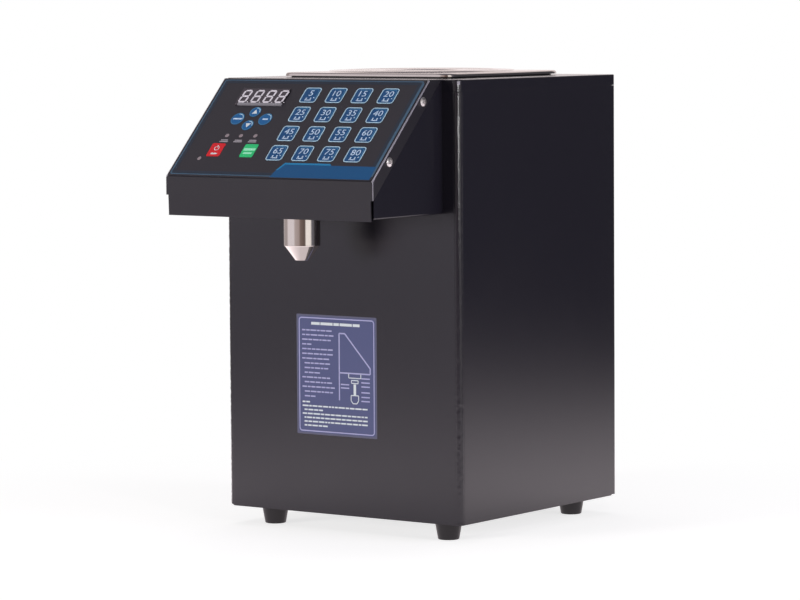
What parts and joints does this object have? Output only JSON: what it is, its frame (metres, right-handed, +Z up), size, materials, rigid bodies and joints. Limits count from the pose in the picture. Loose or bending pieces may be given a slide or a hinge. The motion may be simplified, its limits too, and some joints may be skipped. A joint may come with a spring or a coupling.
{
  "type": "syrup dispenser",
  "caption": "Counter-top syrup dispenser: tall sheet-metal cabinet with a lidded tank, wedge-shaped keypad head and a nozzle over the cup space.",
  "frame": {"origin": "middle of the footprint's box, on the surface that the rubber feet stand on", "axes": "+Z up, +X to the right of someone who faces the keypad, -Y towards that person"},
  "size_m": [0.25, 0.3482, 0.399],
  "materials": {
    "black_powder_coat": "fine satin powder coat on sheet steel",
    "zinc_sheet": "plain zinc-plated sheet",
    "stainless": "deep-drawn stainless steel, satin",
    "polished_steel": "turned and polished stainless steel",
    "screw_steel": "bright zinc-plated screws",
    "black_rubber": "moulded rubber, matte",
    "silicone": "clear silicone hose",
    "printed_film": "back-printed polyester film",
    "number_key_film": "blue-printed key islands",
    "arrow_key_film": "blue-printed round islands",
    "stop_key_film": "red-printed key island",
    "start_key_film": "green-printed key island",
    "circuit_board": "green solder mask on glass-fibre board",
    "display": "dark display face with pale segments",
    "black_plastic": "moulded nylon",
    "cast_aluminium": "machined die-cast aluminium",
    "gear_plastic": "machined acetal",
    "motor_can": "plated motor can"
  },
  "bodies": {
    "cabinet": {"casing": "black_powder_coat", "top_cover": "black_powder_coat", "back_panel": "black_powder_coat", "head_housing": "black_powder_coat", "head_cover": "black_powder_coat", "base_plate": "black_powder_coat", "rubber_feet": "black_rubber", "cabinet_screws": "screw_steel", "power_inlet": "black_plastic", "syrup_tank": "stainless", "tank_seal": "black_rubber", "tank_outlet": "polished_steel", "outlet_nut": "screw_steel", "suction_hose": "silicone", "delivery_hose": "silicone", "hose_clamps": "screw_steel", "pump_housing": "cast_aluminium", "pump_cover": "cast_aluminium", "pump_screws": "screw_steel", "pump_motor": "motor_can", "motor_bracket": "zinc_sheet", "power_supply": "cast_aluminium", "control_board": "circuit_board", "board_standoffs": "black_plastic", "head_screws": "screw_steel", "keypad_film": "printed_film", "keypad_board": "circuit_board", "display_module": "display", "nozzle_holder": "polished_steel", "valve_retainer": "polished_steel", "valve_spring": "screw_steel"},
    "tank_lid": {"tank_lid": "stainless"},
    "nozzle": {"nozzle": "polished_steel"},
    "valve_ball": {"valve_ball": "polished_steel"},
    "drive_gear": {"drive_gear": "gear_plastic"},
    "driven_gear": {"driven_gear": "gear_plastic"},
    "power_rocker": {"power_rocker": "black_plastic"},
    "key_5": {"key_5": "number_key_film"},
    "key_10": {"key_10": "number_key_film"},
    "key_15": {"key_15": "number_key_film"},
    "key_20": {"key_20": "number_key_film"},
    "key_25": {"key_25": "number_key_film"},
    "key_30": {"key_30": "number_key_film"},
    "key_35": {"key_35": "number_key_film"},
    "key_40": {"key_40": "number_key_film"},
    "key_45": {"key_45": "number_key_film"},
    "key_50": {"key_50": "number_key_film"},
    "key_55": {"key_55": "number_key_film"},
    "key_60": {"key_60": "number_key_film"},
    "key_65": {"key_65": "number_key_film"},
    "key_70": {"key_70": "number_key_film"},
    "key_75": {"key_75": "number_key_film"},
    "key_80": {"key_80": "number_key_film"},
    "key_up": {"key_up": "arrow_key_film"},
    "key_down": {"key_down": "arrow_key_film"},
    "key_left": {"key_left": "arrow_key_film"},
    "key_right": {"key_right": "arrow_key_film"},
    "key_stop": {"key_stop": "stop_key_film"},
    "key_start": {"key_start": "start_key_film"}
  },
  "joints": [
    {"name": "lid_lift", "type": "slide", "parent": "cabinet", "child": "tank_lid", "axis": [0, 0, 1], "range_m": [0, 0.06]},
    {"name": "nozzle_removal", "type": "slide", "parent": "cabinet", "child": "nozzle", "axis": [0, 0, -1], "range_m": [0, 0.03]},
    {"name": "valve_opening", "type": "slide", "parent": "cabinet", "child": "valve_ball", "axis": [0, 0, -1], "range_m": [0, 0.002], "stiffness_N_per_m": 150, "springref_m": -0.003, "deforming": ["valve_spring"]},
    {"name": "drive_gear_spin", "type": "hinge", "parent": "cabinet", "child": "drive_gear", "pos_m": [0, -0.02055, 0.05], "axis": [1, 0, 0], "continuous": true},
    {"name": "driven_gear_spin", "type": "hinge", "parent": "cabinet", "child": "driven_gear", "pos_m": [0, -0.02055, 0.074], "axis": [1, 0, 0], "continuous": true},
    {"name": "power_rocker_tip", "type": "hinge", "parent": "cabinet", "child": "power_rocker", "pos_m": [0.062, 0.16895, 0.069], "axis": [1, 0, 0], "range_deg": [-18, 0]},
    {"name": "key_5_press", "type": "slide", "parent": "cabinet", "child": "key_5", "axis": [0, 0.7071, -0.7071], "range_m": [0, 0.0004], "stiffness_N_per_m": 600, "springref_m": -0.0005},
    {"name": "key_10_press", "type": "slide", "parent": "cabinet", "child": "key_10", "axis": [0, 0.7071, -0.7071], "range_m": [0, 0.0004], "stiffness_N_per_m": 600, "springref_m": -0.0005},
    {"name": "key_15_press", "type": "slide", "parent": "cabinet", "child": "key_15", "axis": [0, 0.7071, -0.7071], "range_m": [0, 0.0004], "stiffness_N_per_m": 600, "springref_m": -0.0005},
    {"name": "key_20_press", "type": "slide", "parent": "cabinet", "child": "key_20", "axis": [0, 0.7071, -0.7071], "range_m": [0, 0.0004], "stiffness_N_per_m": 600, "springref_m": -0.0005},
    {"name": "key_25_press", "type": "slide", "parent": "cabinet", "child": "key_25", "axis": [0, 0.7071, -0.7071], "range_m": [0, 0.0004], "stiffness_N_per_m": 600, "springref_m": -0.0005},
    {"name": "key_30_press", "type": "slide", "parent": "cabinet", "child": "key_30", "axis": [0, 0.7071, -0.7071], "range_m": [0, 0.0004], "stiffness_N_per_m": 600, "springref_m": -0.0005},
    {"name": "key_35_press", "type": "slide", "parent": "cabinet", "child": "key_35", "axis": [0, 0.7071, -0.7071], "range_m": [0, 0.0004], "stiffness_N_per_m": 600, "springref_m": -0.0005},
    {"name": "key_40_press", "type": "slide", "parent": "cabinet", "child": "key_40", "axis": [0, 0.7071, -0.7071], "range_m": [0, 0.0004], "stiffness_N_per_m": 600, "springref_m": -0.0005},
    {"name": "key_45_press", "type": "slide", "parent": "cabinet", "child": "key_45", "axis": [0, 0.7071, -0.7071], "range_m": [0, 0.0004], "stiffness_N_per_m": 600, "springref_m": -0.0005},
    {"name": "key_50_press", "type": "slide", "parent": "cabinet", "child": "key_50", "axis": [0, 0.7071, -0.7071], "range_m": [0, 0.0004], "stiffness_N_per_m": 600, "springref_m": -0.0005},
    {"name": "key_55_press", "type": "slide", "parent": "cabinet", "child": "key_55", "axis": [0, 0.7071, -0.7071], "range_m": [0, 0.0004], "stiffness_N_per_m": 600, "springref_m": -0.0005},
    {"name": "key_60_press", "type": "slide", "parent": "cabinet", "child": "key_60", "axis": [0, 0.7071, -0.7071], "range_m": [0, 0.0004], "stiffness_N_per_m": 600, "springref_m": -0.0005},
    {"name": "key_65_press", "type": "slide", "parent": "cabinet", "child": "key_65", "axis": [0, 0.7071, -0.7071], "range_m": [0, 0.0004], "stiffness_N_per_m": 600, "springref_m": -0.0005},
    {"name": "key_70_press", "type": "slide", "parent": "cabinet", "child": "key_70", "axis": [0, 0.7071, -0.7071], "range_m": [0, 0.0004], "stiffness_N_per_m": 600, "springref_m": -0.0005},
    {"name": "key_75_press", "type": "slide", "parent": "cabinet", "child": "key_75", "axis": [0, 0.7071, -0.7071], "range_m": [0, 0.0004], "stiffness_N_per_m": 600, "springref_m": -0.0005},
    {"name": "key_80_press", "type": "slide", "parent": "cabinet", "child": "key_80", "axis": [0, 0.7071, -0.7071], "range_m": [0, 0.0004], "stiffness_N_per_m": 600, "springref_m": -0.0005},
    {"name": "key_up_press", "type": "slide", "parent": "cabinet", "child": "key_up", "axis": [0, 0.7071, -0.7071], "range_m": [0, 0.0004], "stiffness_N_per_m": 600, "springref_m": -0.0005},
    {"name": "key_down_press", "type": "slide", "parent": "cabinet", "child": "key_down", "axis": [0, 0.7071, -0.7071], "range_m": [0, 0.0004], "stiffness_N_per_m": 600, "springref_m": -0.0005},
    {"name": "key_left_press", "type": "slide", "parent": "cabinet", "child": "key_left", "axis": [0, 0.7071, -0.7071], "range_m": [0, 0.0004], "stiffness_N_per_m": 600, "springref_m": -0.0005},
    {"name": "key_right_press", "type": "slide", "parent": "cabinet", "child": "key_right", "axis": [0, 0.7071, -0.7071], "range_m": [0, 0.0004], "stiffness_N_per_m": 600, "springref_m": -0.0005},
    {"name": "key_stop_press", "type": "slide", "parent": "cabinet", "child": "key_stop", "axis": [0, 0.7071, -0.7071], "range_m": [0, 0.0004], "stiffness_N_per_m": 600, "springref_m": -0.0005},
    {"name": "key_start_press", "type": "slide", "parent": "cabinet", "child": "key_start", "axis": [0, 0.7071, -0.7071], "range_m": [0, 0.0004], "stiffness_N_per_m": 600, "springref_m": -0.0005}
  ],
  "couplings": [
    {"joint": "driven_gear_spin", "follows": "drive_gear_spin", "ratio": -1}
  ]
}
